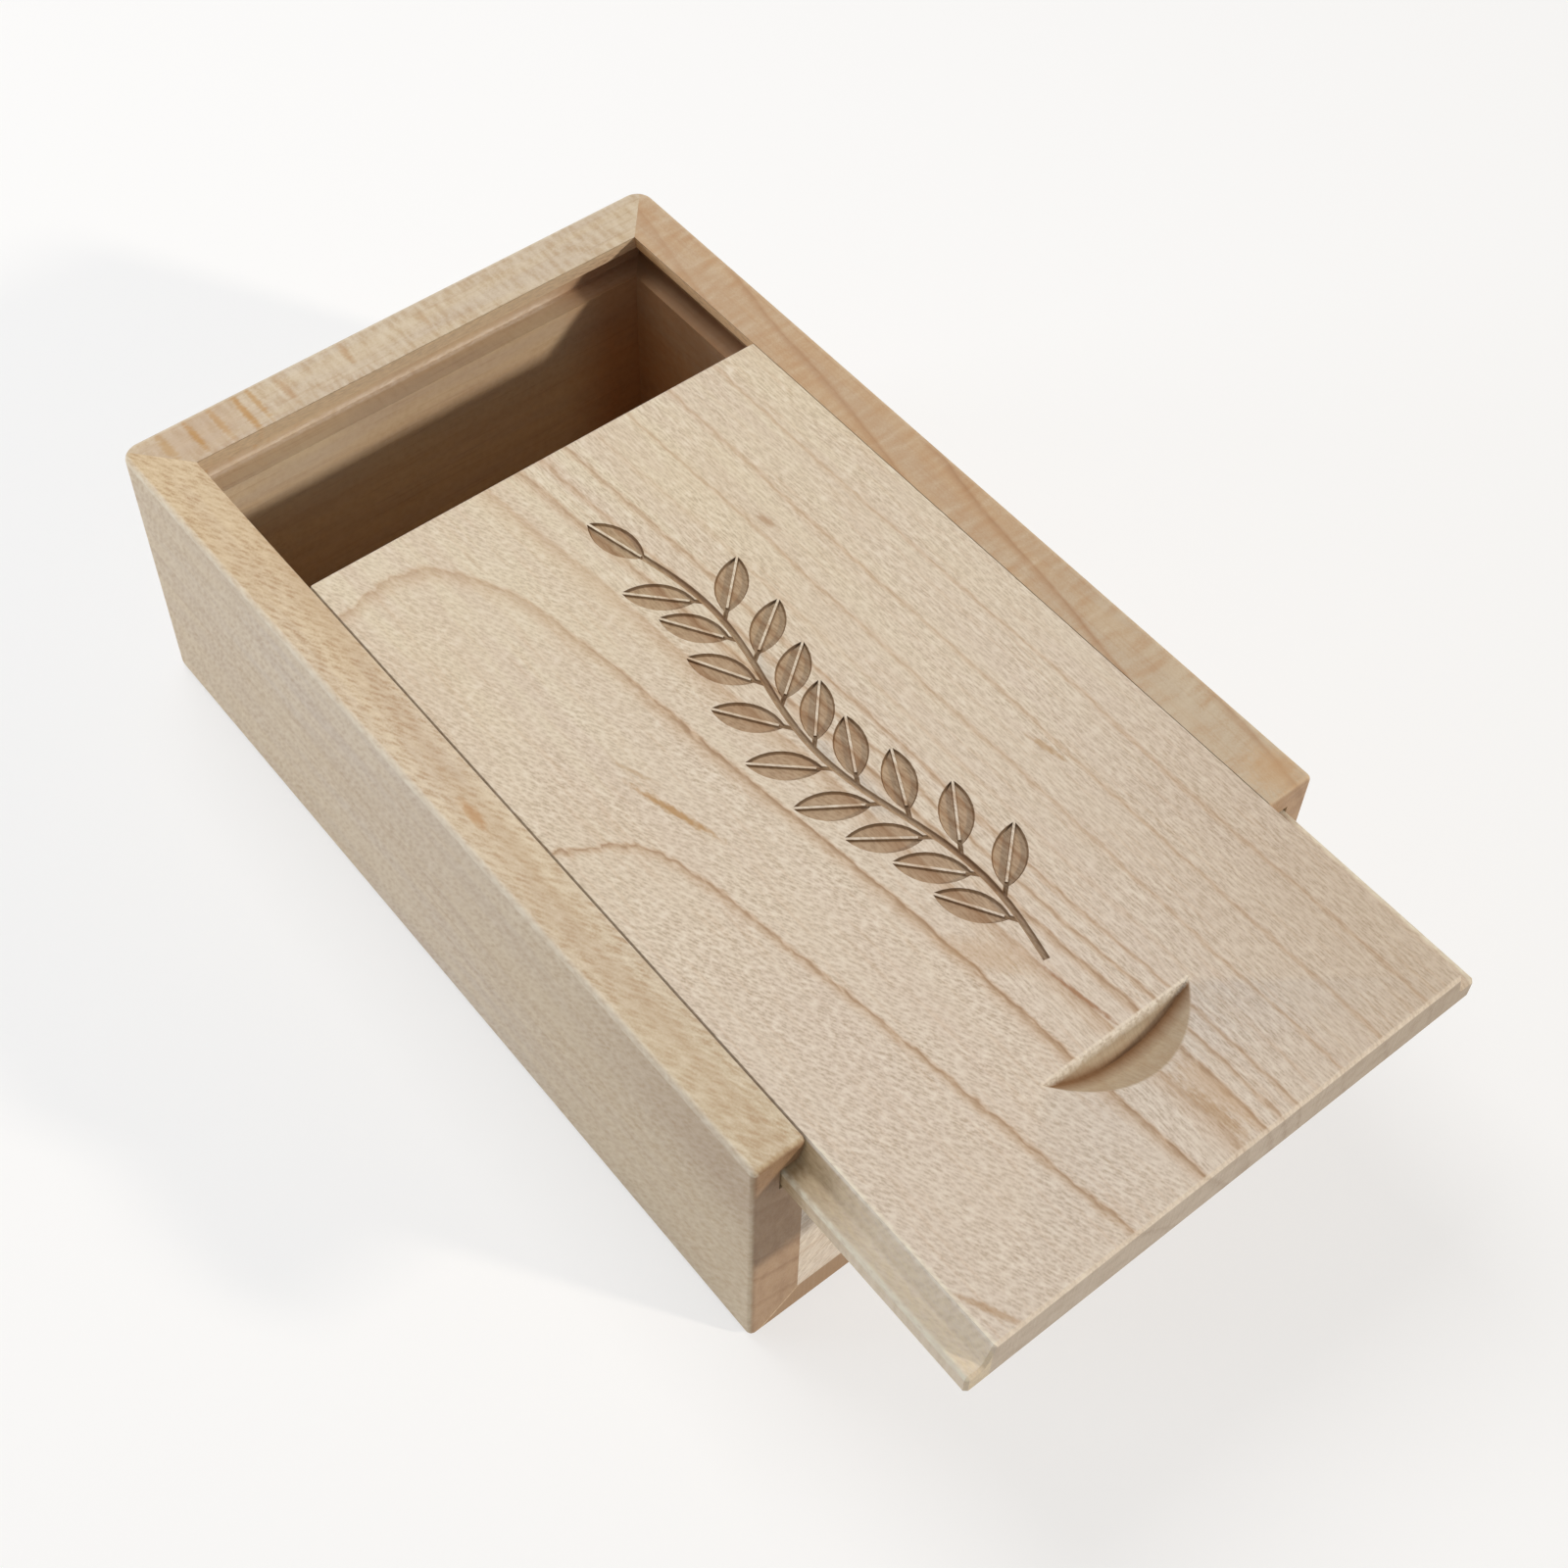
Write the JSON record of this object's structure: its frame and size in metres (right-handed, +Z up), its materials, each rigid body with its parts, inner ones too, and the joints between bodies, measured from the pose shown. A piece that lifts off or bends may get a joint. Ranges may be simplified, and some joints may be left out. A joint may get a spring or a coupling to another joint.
{
  "type": "sliding lid box",
  "caption": "Small wooden box with mitred corners and a flat solid lid that slides in grooves, with a thumb notch near the lid's front end.",
  "frame": {"origin": "middle of the box's underside", "axes": "+Z up, +Y towards the closed end, so the lid is drawn out along -Y"},
  "size_m": [0.055, 0.1054, 0.0275],
  "materials": {
    "left_side_maple": "fine-sanded, unlacquered",
    "right_side_maple": "fine-sanded, unlacquered",
    "back_end_maple": "fine-sanded, unlacquered",
    "front_end_maple": "fine-sanded, unlacquered",
    "bottom_board_maple": "fine-sanded, unlacquered",
    "lid_maple": "fine-sanded, unlacquered"
  },
  "bodies": {
    "box": {"left_side": "left_side_maple", "right_side": "right_side_maple", "back_end": "back_end_maple", "front_end": "front_end_maple", "bottom_board": "bottom_board_maple"},
    "lid": {"lid": "lid_maple"}
  },
  "joints": [
    {"name": "lid_slide", "type": "slide", "parent": "box", "child": "lid", "axis": [0, -1, 0], "range_m": [-0.0171, 0.0636]}
  ]
}
